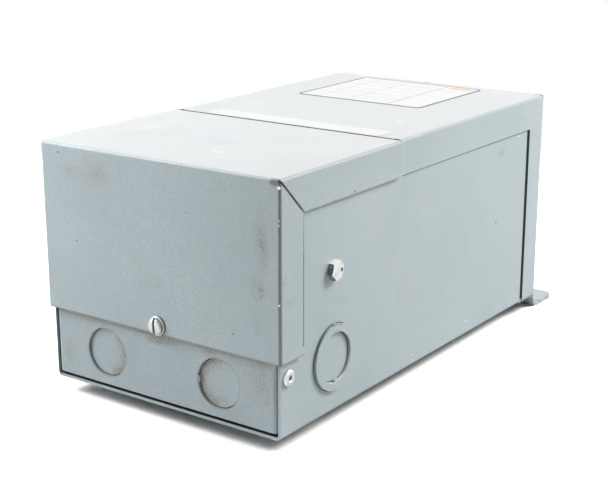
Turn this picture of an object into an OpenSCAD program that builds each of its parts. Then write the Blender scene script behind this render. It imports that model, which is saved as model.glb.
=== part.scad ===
// Small dry-type transformer in a wall-mounting sheet steel enclosure, lying on its back panel.
// Frame: X across the width, Y from the wiring end to the mounting foot, +Z out of the front cover.
// Origin: the centre of the four mounting holes, in the plane of the wall. All lengths in millimetres.

/* [Enclosure] */
// Width over the wiring cover
case_w = 130; // [110:1:170]
// Length from the wiring cover's end face to the far end face
case_l = 232.5; // [190:0.5:290]
// Depth from the back panel's underside to the face of the covers
case_h = 110; // [92:1:140]
// Gap between the back panel and the wall
standoff = 7; // [4:0.1:12]
// Sheet thickness of the case body, end panel and divider
body_t = 1.4; // [1.2:0.1:2]
// Sheet thickness of both covers
cover_t = 1.2; // [0.9:0.1:1.5]
// Outside radius of the covers' folds
bend_r = 1.6; // [1.6:0.1:3]
// Outside radius of the case body's folds
body_bend_r = 2.4; // [2.1:0.1:2.6]

/* [Body] */
// How far each side wall lies inside the wiring cover's side
wall_inset = 1.8; // [1.6:0.1:2.4]
// Distance from the wiring cover's end face back to the side walls' edge
rim_setback = 2.3; // [1.5:0.1:3]
// Width of the open slot between each side wall and the far lip
slot_w = 1.6; // [1:0.1:2.4]
// Height of the strip of wall left below that slot
slot_sill = 2.8; // [2.7:0.1:8]
// Gap between the side walls and the main cover's lower lips
lip_gap = 0.5; // [0.3:0.1:1]

/* [Covers] */
// Depth of the covers' side lips
lip_d = 16; // [12:0.5:24]
// Width of the wiring cover's end lips
near_lip = 16; // [12:0.1:22]
// Width of the main cover's end lips
far_lip = 15; // [10:0.1:20]
// Length of the wiring cover
wiring_l = 89.8; // [80:1:110]
// Width of the seam between the covers
seam_w = 0.7; // [0.4:0.1:1.5]
// Height of the wiring cover's lower edge above the back panel's underside
apron_z = 33.8; // [32:0.1:40]
// Width of the open mitre at the wiring cover's corners
mitre_w = 1; // [0.5:0.1:1.6]
// Length of the clipped corner on the wiring cover's lips
clip_corner = 2; // [1:0.1:4]
// How far the main cover's sides lie inside the wiring cover's
main_inset = 1.1; // [0.7:0.1:1.3]

/* [End panel] */
// Height of the end panel's lower edge above the back panel's underside
panel_z0 = 3.1; // [2.5:0.1:4]
// Height of the end panel's top above the back panel's underside
panel_z1 = 52; // [48:1:60]
// Depth of the end panel's side flanges
flange_d = 18; // [16:0.5:24]
// Depth of the end panel's top flange
top_flange_d = 14; // [8:0.5:16]
// Clearance between the end panel and the wiring cover, and round the flanges
panel_gap = 0.4; // [0.2:0.1:0.6]

/* [Knockouts] */
// Diameter of the half-inch trade size knockouts
knockout_d = 22.2; // [20:0.1:23]
// Outer diameter of the side knockouts' ring
ring_d = 30.1; // [28:0.1:31]
// Width of the sheared line round each knockout
kerf = 0.35; // [0.2:0.05:0.4]
// Width of the tab that still holds each knockout
tab_w = 3; // [2:0.1:4]
// Distance of the end knockouts from the middle
end_ko_x = 31.5; // [28:0.1:34]
// Height of the end knockouts above the back panel's underside
end_ko_z = 18.1; // [17:0.1:20]
// Distance of the side knockouts from the wiring cover's end face
side_ko_y = 40.1; // [38:0.1:48]
// Height of the side knockouts above the back panel's underside
side_ko_z = 25.2; // [22:0.1:30]
// How far the side rings are pushed out of the wall
ring_out = 1.3; // [0.6:0.1:1.4]
// How far the end discs are pushed in
disc_in = 1.1; // [0:0.1:1.2]

/* [Hardware] */
// Cover screw's head diameter
screw_head_d = 8.6; // [8:0.1:10]
// Cover screw's head height
screw_head_h = 2.1; // [1.9:0.1:4]
// Cover screw's thread diameter
screw_d = 4.8; // [4:0.1:5]
// Height of the cover screw above the wiring cover's lower edge
screw_rise = 3.8; // [3.5:0.1:5]
// Side bolt's width across flats
bolt_af = 7.9; // [7:0.1:11]
// Side bolt's head height
bolt_head_h = 2.8; // [2:0.1:5]
// Side bolt's thread diameter
bolt_d = 5; // [4:0.1:6.4]
// Distance of the side bolts from the wiring cover's end face
bolt_y = 39.4; // [36:0.1:48]
// Height of the side bolts above the back panel's underside
bolt_z = 63.9; // [58:0.1:70]
// Blind rivet's head diameter
rivet_head_d = 7.2; // [6:0.1:8]
// Blind rivet's body diameter
rivet_d = 4.8; // [4:0.1:5]
// Distance of the rivets from the wiring cover's end face
rivet_y = 7.4; // [7.2:0.1:11]
// Height of the rivets above the back panel's underside
rivet_z = 26.4; // [20:0.1:28]

/* [Mounting] */
// Reach of the foot past the far end face
foot_reach = 27; // [26:1:40]
// Radius of the foot's corners
foot_corner = 7; // [4:0.5:10]
// Length over which the back panel steps down to the foot
joggle_run = 3.4; // [3:0.1:6]
// Diameter of the four mounting holes
hole_d = 7.1; // [6:0.1:9]
// Distance between the mounting holes across the width
hole_span = 76; // [60:1:84]
// Distance of the foot's holes past the far end face
foot_hole_y = 17.5; // [17:0.5:20]
// Distance of the pads' holes from the wiring cover's end face
pad_y = 34; // [32:0.5:40]
// Diameter of each pressed pad where it meets the wall
pad_d = 20; // [17:0.5:24]
// Slope of the pads' sides, as widening per unit of height
pad_flare = 0.8; // [0.5:0.1:1]

/* [Labels] */
// Width of the rating plate
plate_w = 73.5; // [60:0.5:76]
// Length of the rating plate
plate_l = 65; // [50:1:80]
// Distance of the rating plate's far edge from the far end face
plate_end = 7.5; // [4:0.5:20]
// Offset of the rating plate from the middle
plate_x = -5; // [-10:0.5:10]
// Width of the notice strip
strip_w = 98; // [80:1:104]
// Length of the notice strip
strip_l = 12; // [8:0.5:16]
// Distance of the notice strip from the seam
strip_gap = 0.5; // [0.2:0.1:4]
// Offset of the notice strip from the middle
strip_x = 2.5; // [-4:0.5:4]
// Thickness of the labels
label_t = 0.2; // [0.1:0.05:0.3]

/* [Hidden] */
$fn = 64;
over = 1;          // how far a cutting tool runs past what it cuts
slip = 0.05;       // radial clearance of screws and rivets in their holes
inner_gap = 0.3;   // clearance round the pieces inside the case
back_z = standoff;
top_z = back_z + case_h;
inside_z = top_z - cover_t;
wall_top = inside_z - bend_r;                // side walls end below the covers' folds
case_half = case_w / 2;
wall_half = case_half - wall_inset;
wall_in = wall_half - body_t;
main_half = case_half - main_inset;
step_half = main_half - cover_t - 0.1;      // side walls' folded-in edge, under the main cover's lips
lip_z = top_z - lip_d;
wall_z = lip_z - lip_gap;
step_overlap = 5;                           // how far the folded-in edge runs down behind the wall
seam_y0 = wiring_l;
seam_y1 = wiring_l + seam_w;
far_lip_y = case_l - far_lip;
slot_y = far_lip_y - slot_w;
face_y = cover_t + panel_gap;               // outer face of the end panel
panel_half = wall_in - panel_gap;
divider_y = seam_y1 + 1;
panel_bend_in = 0.4;                        // inside radius of the end panel's folds
panel_bend_r = body_t + panel_bend_in;
divider_flange = 8;
core_y0 = divider_y + body_t + inner_gap;
core_half = step_half - body_t - inner_gap;
core_chamfer = 3;
panel_seat = 0.1;                           // clearance of the far end face above the back panel
screw_z = back_z + apron_z + screw_rise;
hole_mid_y = (pad_y + case_l + foot_hole_y) / 2;
notch_r = screw_d / 2 + 0.4;
screw_slot_w = 1.5;
screw_slot_d = 1.2;
screw_tip = 2;
nut_af = 8;
nut_h = 3.2;
clip_w = 12;
clip_h = 16;
clip_t = 0.8;
bolt_nut_af = 9.5;
bolt_nut_h = 3.2;
bolt_tip = 1;
mandrel_d = 2;
tab_root = 0.8;                             // how far a knockout's tab reaches onto it
seam_notch_w = 2.4;
seam_notch_d = 1.2;
plate_corner = 3;
strip_corner = 1;

paint = [0.70, 0.74, 0.75];
compound = [0.10, 0.10, 0.11];
zinc = [0.78, 0.78, 0.76];
alloy = [0.88, 0.89, 0.90];
label_white = [0.94, 0.94, 0.93];

// Moves a piece drawn from the wiring cover's end face to the row's origin.
module place() translate([0, -hole_mid_y, 0]) children();

// Draws a right-hand piece, or its mirror image on the left.
module on_side(side) mirror([side < 0 ? 1 : 0, 0, 0]) children();

// Sections drawn in XZ, YZ and XY, and given their length along the third axis.
module along_y(y0, y1) translate([0, y1, 0]) rotate([90, 0, 0]) linear_extrude(y1 - y0) children();
module along_x(x0, x1) translate([x0, 0, 0]) rotate([90, 0, 90]) linear_extrude(x1 - x0) children();
module along_z(z0, z1) translate([0, 0, z0]) linear_extrude(z1 - z0) children();

// Round bars along Y, and along X.
module rod_y(x, y0, y1, z, r) translate([x, y0, z]) rotate([-90, 0, 0]) cylinder(h = y1 - y0, r = r);
module rod_x(x0, x1, y, z, r) translate([x0, y, z]) rotate([0, 90, 0]) cylinder(h = x1 - x0, r = r);

// Rectangle with its two upper corners rounded, from v0 up to v1 and half wide each way.
module round_top(half, v0, v1, r) {
    translate([-half, v0]) square([2 * half, v1 - r - v0]);
    translate([-half + r, v0]) square([2 * (half - r), v1 - v0]);
    intersection() {
        for (s = [-1, 1]) translate([s * (half - r), v1 - r]) circle(r);
        translate([-half, v0]) square([2 * half, v1 - v0]);
    }
}

// Rectangle with one upper corner rounded, at the high end of u.
module round_corner(u0, u1, v0, v1, r) {
    translate([u0, v0]) square([u1 - u0, v1 - r - v0]);
    translate([u0, v0]) square([u1 - r - u0, v1 - v0]);
    translate([u1 - r, v1 - r]) circle(r);
}

// Block with the folds of a cover: rounded along both sides, across the far top edge and up the far corners.
module folded_block(half, y0, y1, z0, z1, r) intersection() {
    along_y(y0, y1) round_top(half, z0, z1, r);
    along_x(-half, half) round_corner(y0, y1, z0, z1, r);
    along_z(z0, z1) round_top(half, y0, y1, r);
}

// Hollow cover of sheet metal, open below and towards y0.
module folded_cover(half, y0, y1, z0, z1, r, t) difference() {
    folded_block(half, y0, y1, z0, z1, r);
    folded_block(half - t, y0 - over, y1 - t, z0 - over, z1 - t, r - t);
}

// U-shaped channel of the case body, from z0 up to z1.
module channel(half, y0, y1, z0, z1) mirror([0, 0, 1]) difference() {
    along_y(y0, y1) round_top(half, -z1, -z0, body_bend_r);
    along_y(y0 - over, y1 + over) round_top(half - body_t, -z1 - over, -z0 - body_t, body_bend_r - body_t);
}

// Rounded rectangle, drawn from its centre.
module rounded_plate(w, l, r) {
    square([w - 2 * r, l], center = true);
    square([w, l - 2 * r], center = true);
    for (sx = [-1, 1], sy = [-1, 1]) translate([sx * (w / 2 - r), sy * (l / 2 - r)]) circle(r);
}

// Step from the back panel down to the wall, and the foot itself, seen from the side.
module foot_profile() {
    fold = atan2(standoff, joggle_run);
    k = body_t * tan(fold / 2);
    foot_end = case_l + foot_reach;
    polygon([
        [far_lip_y - over, back_z], [case_l, back_z], [case_l + joggle_run, 0], [foot_end, 0],
        [foot_end, body_t], [case_l + joggle_run + k, body_t], [case_l + k, back_z + body_t],
        [far_lip_y - over, back_z + body_t]
    ]);
}

// Back panel's far end with the foot, its corners rounded in plan.
module far_tail() intersection() {
    along_x(-wall_half, wall_half) foot_profile();
    along_z(-over, back_z + body_t + over) {
        tail_half = step_half;
        translate([-tail_half, far_lip_y - over]) square([2 * tail_half, far_lip + over + joggle_run]);
        translate([0, case_l + foot_reach / 2]) rounded_plate(2 * wall_half, foot_reach + 0.01, foot_corner);
    }
}

// Pressed pad that stands the back panel off the wall.
module pad_cone(r, h) cylinder(h = h, r1 = r, r2 = r + pad_flare * h);
module pad_outside() pad_cone(pad_d / 2, back_z + body_t / 2);
module pad_inside() translate([0, 0, body_t]) pad_cone((pad_d - body_t) / 2, back_z + over);
module at_pads() for (s = [-1, 1]) translate([s * hole_span / 2, pad_y, 0]) children();

module case_body() color(paint) place() difference() {
    union() {
        channel(wall_half, rim_setback, slot_y, back_z, wall_z);
        channel(wall_half, slot_y - over, far_lip_y, back_z, back_z + slot_sill);
        far_tail();
        at_pads() pad_outside();
        for (s = [-1, 1]) on_side(s) {
            translate([wall_in, rim_setback, wall_z - over])
                cube([body_t, seam_y0 - rim_setback, wall_top - wall_z + over]);
            translate([step_half - body_t, divider_y, wall_z - step_overlap])
                cube([body_t, slot_y - divider_y, wall_top - wall_z + step_overlap]);
        }
    }
    at_pads() {
        pad_inside();
        translate([0, 0, -over]) cylinder(h = body_t + 2 * over, d = hole_d);
    }
    for (s = [-1, 1]) {
        translate([s * hole_span / 2, case_l + foot_hole_y, -over])
            cylinder(h = body_t + 2 * over, d = hole_d);
        on_side(s) {
            rod_x(wall_in - over, wall_half + over, side_ko_y, back_z + side_ko_z, ring_d / 2);
            rod_x(wall_in - over, wall_half + over, bolt_y, back_z + bolt_z, bolt_d / 2 + slip);
            rod_x(wall_in - over, wall_half + over, rivet_y, back_z + rivet_z, rivet_d / 2 + slip);
        }
    }
}

module end_panel() color(paint) place() difference() {
    union() {
        difference() {
            along_z(back_z + panel_z0, back_z + panel_z1) mirror([0, 1])
                round_top(panel_half, -face_y - flange_d, -face_y, panel_bend_r);
            along_z(back_z + panel_z0 - over, back_z + panel_z1 + over) mirror([0, 1])
                round_top(panel_half - body_t, -face_y - flange_d - over, -face_y - body_t, panel_bend_in);
        }
        translate([-panel_half + panel_bend_r, face_y + body_t / 2, back_z + panel_z1 - body_t])
            cube([2 * (panel_half - panel_bend_r), top_flange_d, body_t]);
    }
    for (s = [-1, 1]) {
        rod_y(s * end_ko_x, face_y - over, face_y + body_t + over, back_z + end_ko_z, knockout_d / 2);
        on_side(s) rod_x(panel_half - body_t - over, panel_half + over,
            rivet_y, back_z + rivet_z, rivet_d / 2 + slip);
    }
    rod_y(0, face_y - over, face_y + body_t + over, screw_z, screw_d / 2 + slip);
}

module divider_panel() color(paint) place() {
    narrow = step_half - body_t - inner_gap;
    low = back_z + body_t + inner_gap;
    high = inside_z - inner_gap;
    translate([-narrow, divider_y, low]) cube([2 * narrow, body_t, high - low]);
    translate([-narrow, seam_y0 - divider_flange, high - body_t])
        cube([2 * narrow, divider_y + divider_flange - seam_y0 + body_t, body_t]);
}

module potted_core() color(compound) place() {
    low = back_z + body_t + inner_gap;
    far = case_l - cover_t - inner_gap;
    along_z(low, wall_top) difference() {
        translate([-core_half, core_y0]) square([2 * core_half, far - core_y0]);
        for (s = [-1, 1]) translate([s * core_half, far]) rotate(45)
            square(core_chamfer * sqrt(2), center = true);
    }
}

module main_cover() color(paint) place() difference() {
    folded_cover(main_half, seam_y1, case_l, back_z, top_z, bend_r, cover_t);
    for (s = [-1, 1]) on_side(s) {
        translate([main_half - cover_t - over, seam_y1 - over, back_z - over])
            cube([cover_t + 2 * over, far_lip_y - seam_y1 + over, lip_z - back_z + over]);
        translate([main_half - bend_r - seam_notch_w, seam_y1 - over, inside_z - over])
            cube([seam_notch_w, over + seam_notch_d, cover_t + 2 * over]);
    }
    // The far end face stands on the back panel, between the lips.
    translate([-main_half + cover_t, far_lip_y, back_z - over])
        cube([2 * (main_half - cover_t), far_lip + over, body_t + over + panel_seat]);
}

module wiring_cover() color(paint) place() difference() {
    translate([0, seam_y0, 0]) mirror([0, 1, 0])
        folded_cover(case_half, 0, seam_y0, back_z + apron_z, top_z, bend_r, cover_t);
    for (s = [-1, 1]) on_side(s) {
        translate([case_half - cover_t - over, near_lip, back_z])
            cube([cover_t + 2 * over, seam_y0 - near_lip + over, lip_z - back_z]);
        translate([case_half - cover_t - over, near_lip, back_z + apron_z]) rotate([45, 0, 0])
            cube([cover_t + 2 * over, clip_corner * sqrt(2), clip_corner * sqrt(2)]);
        mitre_cut();
    }
    rod_y(0, -over, cover_t + over, screw_z, notch_r);
    translate([-notch_r, -over, back_z + apron_z - over])
        cube([2 * notch_r, cover_t + 2 * over, screw_rise + over]);
}

// Diagonal gap between the side lip and the end lip, from the folded corner to the lips' inner corner.
module mitre_cut() {
    slope = atan2(lip_d, near_lip);
    reach = sqrt(pow(lip_d, 2) + pow(near_lip, 2));
    translate([case_half - cover_t - slip, 0, top_z]) rotate([-slope, 0, 0])
        translate([0, -over, -mitre_w / 2]) cube([cover_t + over, reach + 2 * over, mitre_w]);
}

// Round slug drawn flat, its thickness up, with a tab that reaches the edge of its hole ahead and behind.
module slug(r, hole_r, t, behind, ahead) {
    cylinder(h = t, r = r);
    intersection() {
        translate([0, 0, -behind]) cylinder(h = t + behind + ahead, r = hole_r);
        translate([-tab_w / 2, r - tab_root, -behind])
            cube([tab_w, hole_r - r + tab_root + over, t + behind + ahead]);
    }
}

module end_knockout(side) color(paint) place()
    translate([side * end_ko_x, face_y + disc_in + body_t, back_z + end_ko_z]) rotate([90, 0, 0])
        rotate(side * 90) slug(knockout_d / 2 - kerf, knockout_d / 2, body_t, 0, disc_in);

module side_knockout_ring(side) color(paint) place() on_side(side)
    translate([wall_in + ring_out, side_ko_y, back_z + side_ko_z]) rotate([90, 0, 90]) difference() {
        slug(ring_d / 2 - kerf, ring_d / 2, body_t, ring_out, 0);
        translate([0, 0, -over]) cylinder(h = body_t + 2 * over, d = knockout_d);
    }

module side_knockout_disc(side) color(paint) place() on_side(side)
    translate([wall_in, side_ko_y, back_z + side_ko_z]) rotate([90, 0, 90]) rotate(180)
        slug(knockout_d / 2 - kerf, knockout_d / 2, body_t, 0, ring_out);

module end_panel_rivet(side) color(alloy) place() on_side(side) difference() {
    head_h = case_half - wall_half - 0.3;
    tail_x = panel_half - body_t;
    union() {
        translate([wall_half, rivet_y, back_z + rivet_z]) rotate([0, 90, 0])
            cylinder(h = head_h, d1 = rivet_head_d, d2 = rivet_head_d * 0.7);
        rod_x(tail_x - 2, wall_half + head_h / 2, rivet_y, back_z + rivet_z, rivet_d / 2);
        rod_x(tail_x - 2.5, tail_x, rivet_y, back_z + rivet_z, rivet_d / 2 + 0.9);
    }
    rod_x(wall_half - over, wall_half + head_h + over, rivet_y, back_z + rivet_z, mandrel_d / 2);
}

module side_bolt(side) color(zinc) place() on_side(side) {
    translate([wall_half, bolt_y, back_z + bolt_z]) rotate([0, 90, 0]) intersection() {
        rotate(30) cylinder(h = bolt_head_h, d = bolt_af / cos(30), $fn = 6);
        cylinder(h = bolt_head_h, d1 = bolt_af * 1.15 + 2 * bolt_head_h, d2 = bolt_af * 0.95);
    }
    rod_x(wall_in - bolt_nut_h - bolt_tip, wall_half + body_t, bolt_y, back_z + bolt_z, bolt_d / 2);
}

module side_bolt_nut(side) color(zinc) place() on_side(side)
    translate([wall_in - bolt_nut_h, bolt_y, back_z + bolt_z]) rotate([0, 90, 0]) difference() {
        rotate(30) cylinder(h = bolt_nut_h, d = bolt_nut_af / cos(30), $fn = 6);
        translate([0, 0, -over]) cylinder(h = bolt_nut_h + 2 * over, r = bolt_d / 2 + slip);
    }

module cover_screw() color(zinc) place() difference() {
    tip_y = face_y + body_t + clip_t + nut_h + screw_tip;
    union() {
        translate([0, 0, screw_z]) rotate([90, 0, 0])
            cylinder(h = screw_head_h, d1 = screw_head_d, d2 = screw_head_d * 0.82);
        rod_y(0, -body_t, tip_y, screw_z, screw_d / 2);
    }
    translate([-screw_slot_w / 2, -screw_head_h - over, screw_z - screw_head_d])
        cube([screw_slot_w, screw_slot_d + over, 2 * screw_head_d]);
}

module cover_screw_clip() color(zinc) place() difference() {
    back_y = face_y + body_t;
    union() {
        translate([-clip_w / 2, back_y, screw_z - clip_h / 2]) cube([clip_w, clip_t, clip_h]);
        translate([0, back_y + clip_t / 2, screw_z]) rotate([-90, 0, 0])
            cylinder(h = nut_h + clip_t / 2, d = nut_af / cos(30), $fn = 6);
    }
    rod_y(0, back_y - over, back_y + clip_t + nut_h + over, screw_z, screw_d / 2 + slip);
}

module rating_plate() color(label_white) place()
    translate([plate_x, case_l - plate_end - plate_l / 2, top_z]) linear_extrude(label_t)
        rounded_plate(plate_w, plate_l, plate_corner);

module notice_strip() color(label_white) place()
    translate([strip_x, seam_y1 + strip_gap + strip_l / 2, top_z]) linear_extrude(label_t)
        rounded_plate(strip_w, strip_l, strip_corner);

case_body();
end_panel();
divider_panel();
potted_core();
main_cover();
wiring_cover();
end_knockout(-1);  // end_knockout_left
end_knockout(1);  // end_knockout_right
side_knockout_ring(-1);  // side_knockout_ring_left
side_knockout_ring(1);  // side_knockout_ring_right
side_knockout_disc(-1);  // side_knockout_disc_left
side_knockout_disc(1);  // side_knockout_disc_right
end_panel_rivet(-1);  // end_panel_rivet_left
end_panel_rivet(1);  // end_panel_rivet_right
side_bolt(-1);  // side_bolt_left
side_bolt(1);  // side_bolt_right
side_bolt_nut(-1);  // side_bolt_nut_left
side_bolt_nut(1);  // side_bolt_nut_right
cover_screw();
cover_screw_clip();
rating_plate();
notice_strip();
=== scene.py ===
import math
import bmesh
import bpy
from mathutils import Matrix, Vector


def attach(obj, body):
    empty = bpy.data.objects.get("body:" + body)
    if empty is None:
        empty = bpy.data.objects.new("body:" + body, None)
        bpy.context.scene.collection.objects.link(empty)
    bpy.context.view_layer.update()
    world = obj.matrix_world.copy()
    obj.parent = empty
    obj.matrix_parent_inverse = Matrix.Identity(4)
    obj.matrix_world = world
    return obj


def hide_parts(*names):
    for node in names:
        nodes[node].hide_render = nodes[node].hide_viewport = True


# A small dry-type transformer in a sheet steel wall enclosure, lying on its back panel. The scene is
# in metres. The pieces' sizes are in millimetres, and are multiplied by mm where they are used.
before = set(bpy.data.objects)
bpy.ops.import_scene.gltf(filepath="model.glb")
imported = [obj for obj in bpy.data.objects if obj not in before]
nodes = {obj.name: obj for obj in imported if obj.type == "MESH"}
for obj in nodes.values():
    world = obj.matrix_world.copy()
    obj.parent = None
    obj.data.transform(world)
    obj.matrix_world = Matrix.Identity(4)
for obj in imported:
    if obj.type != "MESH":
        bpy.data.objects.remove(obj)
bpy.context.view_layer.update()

# ---- Case body -------------------------------------------------------------------------------
# Channel of folded sheet steel: back panel, two side walls, and at the far end a foot that steps
# down to the wall. Two pads pressed into the back panel hold the wiring end off the wall. Sprayed
# with grey powder coat after folding, so its sheared edges are thinly covered and rust first.
mm = 0.001
standoff, body_sheet = 7, 1.4
coat_light, coat_dark, inner_shade = "B3C0C5", "ABB9BE", "33383B"
rust_dark, rust_tan, chip_pale, chip_dark = "4A3528", "94775F", "EFEFEA", "33363A"


def cad_corners(name):
    """Lowest and highest corner of a CAD piece, in mm."""
    points = [vert.co / mm for vert in nodes[name].data.vertices]
    return [[pick(point[i] for point in points) for i in range(3)] for pick in (min, max)]


def srgb(code):
    """Linear colour of an sRGB hex value."""
    parts = [int(code[i:i + 2], 16) / 255 for i in (0, 2, 4)]
    return [p / 12.92 if p <= 0.04045 else ((p + 0.055) / 1.055) ** 2.4 for p in parts] + [1]


def add(tree, kind, inputs=None, out=0, **settings):
    """Adds one shader node with its settings and links, and gives one of its outputs."""
    new = tree.nodes.new("ShaderNode" + kind)
    for key, value in settings.items():
        setattr(new, key, value)
    for key, value in (inputs or {}).items():
        if isinstance(value, bpy.types.NodeSocket):
            tree.links.new(value, new.inputs[key])
        else:
            new.inputs[key].default_value = value
    return new.outputs[out]


def start_finish(name, colour, rough, metal):
    """Empty material, and the layers that its surface is built up from."""
    material = bpy.data.materials.new(name)
    material.use_nodes = True
    tree = material.node_tree
    place = add(tree, "TexCoord", out="Object")
    return {"material": material, "tree": tree, "place": place, "colour": srgb(colour),
            "rough": rough, "metal": metal, "height": 0.0}


def meet(finish, *masks):
    """Mask of where several masks meet. A number among them weakens it."""
    joined = masks[0]
    for mask in masks[1:]:
        joined = add(finish["tree"], "Math", {0: joined, 1: mask}, operation="MULTIPLY")
    return joined


def lay_over(finish, mask, colour, rough, metal=0.0):
    """Lays another surface over the finish wherever the mask is 1."""
    tree = finish["tree"]
    finish["colour"] = add(tree, "Mix", {0: mask, 6: finish["colour"], 7: srgb(colour)}, 2,
                           data_type="RGBA")
    finish["rough"] = add(tree, "Mix", {0: mask, 2: finish["rough"], 3: rough})
    finish["metal"] = add(tree, "Mix", {0: mask, 2: finish["metal"], 3: metal})


def raise_by(finish, mask, amount):
    """Adds the mask to the finish's height, amount in mm."""
    finish["height"] = add(finish["tree"], "Math", {0: mask, 1: amount * mm, 2: finish["height"]},
                           operation="MULTIPLY_ADD")


def close_finish(finish, ior=1.5):
    """Links the built-up layers to the material's shader."""
    tree = finish["tree"]
    shader = tree.nodes["Principled BSDF"]
    shader.inputs["IOR"].default_value = ior
    for key, name in (("colour", "Base Color"), ("rough", "Roughness"), ("metal", "Metallic")):
        if isinstance(finish[key], bpy.types.NodeSocket):
            tree.links.new(finish[key], shader.inputs[name])
        else:
            shader.inputs[name].default_value = finish[key]
    if isinstance(finish["height"], bpy.types.NodeSocket):
        bump = add(tree, "Bump", {"Strength": 1.0, "Distance": 1.0, "Height": finish["height"]})
        tree.links.new(bump, shader.inputs["Normal"])
    return finish["material"]


def noise(finish, size, low, high, detail=2.0, stretch=(1, 1, 1)):
    """Cloudy mask with features size mm across: 0 below low, 1 above high."""
    tree = finish["tree"]
    place = add(tree, "Mapping", {"Vector": finish["place"], "Scale": stretch})
    cloud = add(tree, "TexNoise", {"Vector": place, "Scale": 1 / (size * mm), "Detail": detail})
    return add(tree, "MapRange", {0: cloud, 1: low, 2: high}, interpolation_type="SMOOTHSTEP")


def blotch(finish, centre, half, ragged=0.6, grain=3.0, soft=0.5):
    """Mask of a ragged patch: its centre and half sizes in mm, and the grain of its outline."""
    tree = finish["tree"]
    away = add(tree, "VectorMath", {0: finish["place"], 1: [c * mm for c in centre]},
               operation="SUBTRACT")
    away = add(tree, "VectorMath", {0: away, 1: [1 / (h * mm) for h in half]},
               operation="MULTIPLY")
    reach = add(tree, "VectorMath", {0: away}, "Value", operation="LENGTH")
    edge = add(tree, "TexNoise", {"Vector": finish["place"], "Scale": 1 / (grain * mm),
                                  "Detail": 3.0})
    reach = add(tree, "Math", {0: edge, 1: 2 * ragged, 2: reach}, operation="MULTIPLY_ADD")
    return add(tree, "MapRange", {0: reach, 1: 1 + ragged, 2: 1 + ragged - soft},
               interpolation_type="SMOOTHSTEP")


def chips(finish, centres, colour=chip_pale, rough=0.6, metal=0.0):
    """Small chips with ragged outlines, 0.04 mm deep, each given by its centre and radius in mm."""
    tree = finish["tree"]
    nearest = 9.0
    for x, y, z, r in centres:
        away = add(tree, "VectorMath", {0: finish["place"], 1: (x * mm, y * mm, z * mm)}, "Value",
                   operation="DISTANCE")
        away = add(tree, "Math", {0: away, 1: 1 / (r * mm)}, operation="MULTIPLY")
        nearest = add(tree, "Math", {0: away, 1: nearest}, operation="MINIMUM")
    edge = add(tree, "TexNoise", {"Vector": finish["place"], "Scale": 1 / (0.5 * mm)})
    nearest = add(tree, "Math", {0: edge, 1: 1.0, 2: nearest}, operation="MULTIPLY_ADD")
    mask = add(tree, "MapRange", {0: nearest, 1: 1.4, 2: 1.1})
    lay_over(finish, mask, colour, rough, metal)
    raise_by(finish, mask, -0.04)


def band(finish, axis, edge, width):
    """Mask that is 1 at a plane across an axis and fades to 0 over a width in mm, either way."""
    tree = finish["tree"]
    along = add(tree, "SeparateXYZ", {0: finish["place"]}, axis)
    away = add(tree, "Math", {0: along, 1: edge * mm}, operation="SUBTRACT")
    away = add(tree, "Math", {0: away}, operation="ABSOLUTE")
    return add(tree, "MapRange", {0: away, 1: width * mm, 2: 0.0})


def rim_distance(finish, low, high):
    """Distance in metres from the nearest edge of a box, for a point on one of its faces."""
    tree = finish["tree"]
    middle = [(a + b) / 2 * mm for a, b in zip(low, high)]
    half = [(b - a) / 2 * mm for a, b in zip(low, high)]
    away = add(tree, "VectorMath", {0: finish["place"], 1: middle}, operation="SUBTRACT")
    away = add(tree, "VectorMath", {0: away}, operation="ABSOLUTE")
    away = add(tree, "VectorMath", {0: half, 1: away}, operation="SUBTRACT")
    x = add(tree, "SeparateXYZ", {0: away})
    y, z = x.node.outputs[1], x.node.outputs[2]
    less = add(tree, "Math", {0: x, 1: y}, operation="MINIMUM")
    more = add(tree, "Math", {0: x, 1: y}, operation="MAXIMUM")
    more = add(tree, "Math", {0: more, 1: z}, operation="MINIMUM")
    return add(tree, "Math", {0: less, 1: more}, operation="MAXIMUM")


def facing(finish, direction, low, high):
    """Mask of the faces that look along a direction: 0 below low, 1 above high, as cosines."""
    tree = finish["tree"]
    look = add(tree, "NewGeometry", out="Normal")
    look = add(tree, "VectorMath", {0: look, 1: direction}, "Value", operation="DOT_PRODUCT")
    return add(tree, "MapRange", {0: look, 1: low, 2: high})


def edge_wear(finish, low, high, width=0.9):
    """Paint rubbed through here and there along the folds of a box, with rust in the bare steel."""
    tree = finish["tree"]
    away = add(tree, "Math", {0: rim_distance(finish, low, high)}, operation="ABSOLUTE")
    near = add(tree, "MapRange", {0: away, 1: width * mm, 2: 0.0})
    worn = meet(finish, near, noise(finish, 7.0, 0.6, 0.68, 4.0))
    worn = add(tree, "MapRange", {0: worn, 1: 0.35, 2: 0.55})
    lay_over(finish, worn, chip_pale, 0.55)
    lay_over(finish, meet(finish, worn, noise(finish, 2.0, 0.5, 0.56)), rust_tan, 0.8)
    raise_by(finish, worn, -0.03)


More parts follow.
